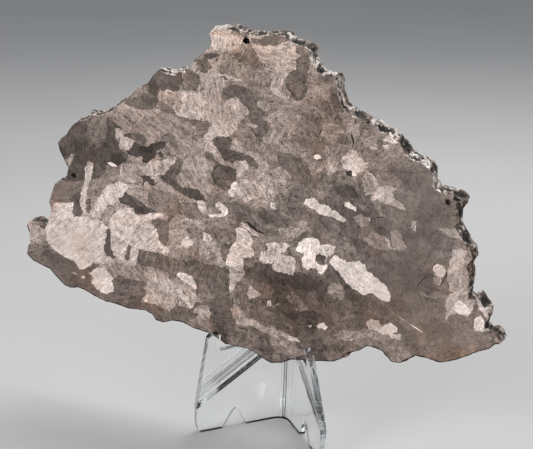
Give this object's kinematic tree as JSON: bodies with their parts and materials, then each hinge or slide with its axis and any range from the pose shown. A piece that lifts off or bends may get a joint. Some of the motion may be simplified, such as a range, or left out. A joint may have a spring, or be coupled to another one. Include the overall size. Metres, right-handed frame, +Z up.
{
  "type": "iron meteorite slice",
  "caption": "Thin cut slice of iron meteorite with a mosaic of etched metal grains and a rough crusted rim, standing in a slotted stand bent from one clear acrylic sheet.",
  "frame": {"origin": "middle of the object's box in plan, at the level that the stand's feet rest on", "axes": "+Z up, +X along the slice's length to the right of someone who faces its front, +Y to the back"},
  "size_m": [0.25, 0.0386, 0.1972],
  "materials": {
    "meteoric_iron": "cut and etched faces, dark rough rim",
    "clear_acrylic": "clear and polished"
  },
  "bodies": {
    "root": {"meteorite_slice": "meteoric_iron", "acrylic_stand": "clear_acrylic"}
  },
  "joints": []
}
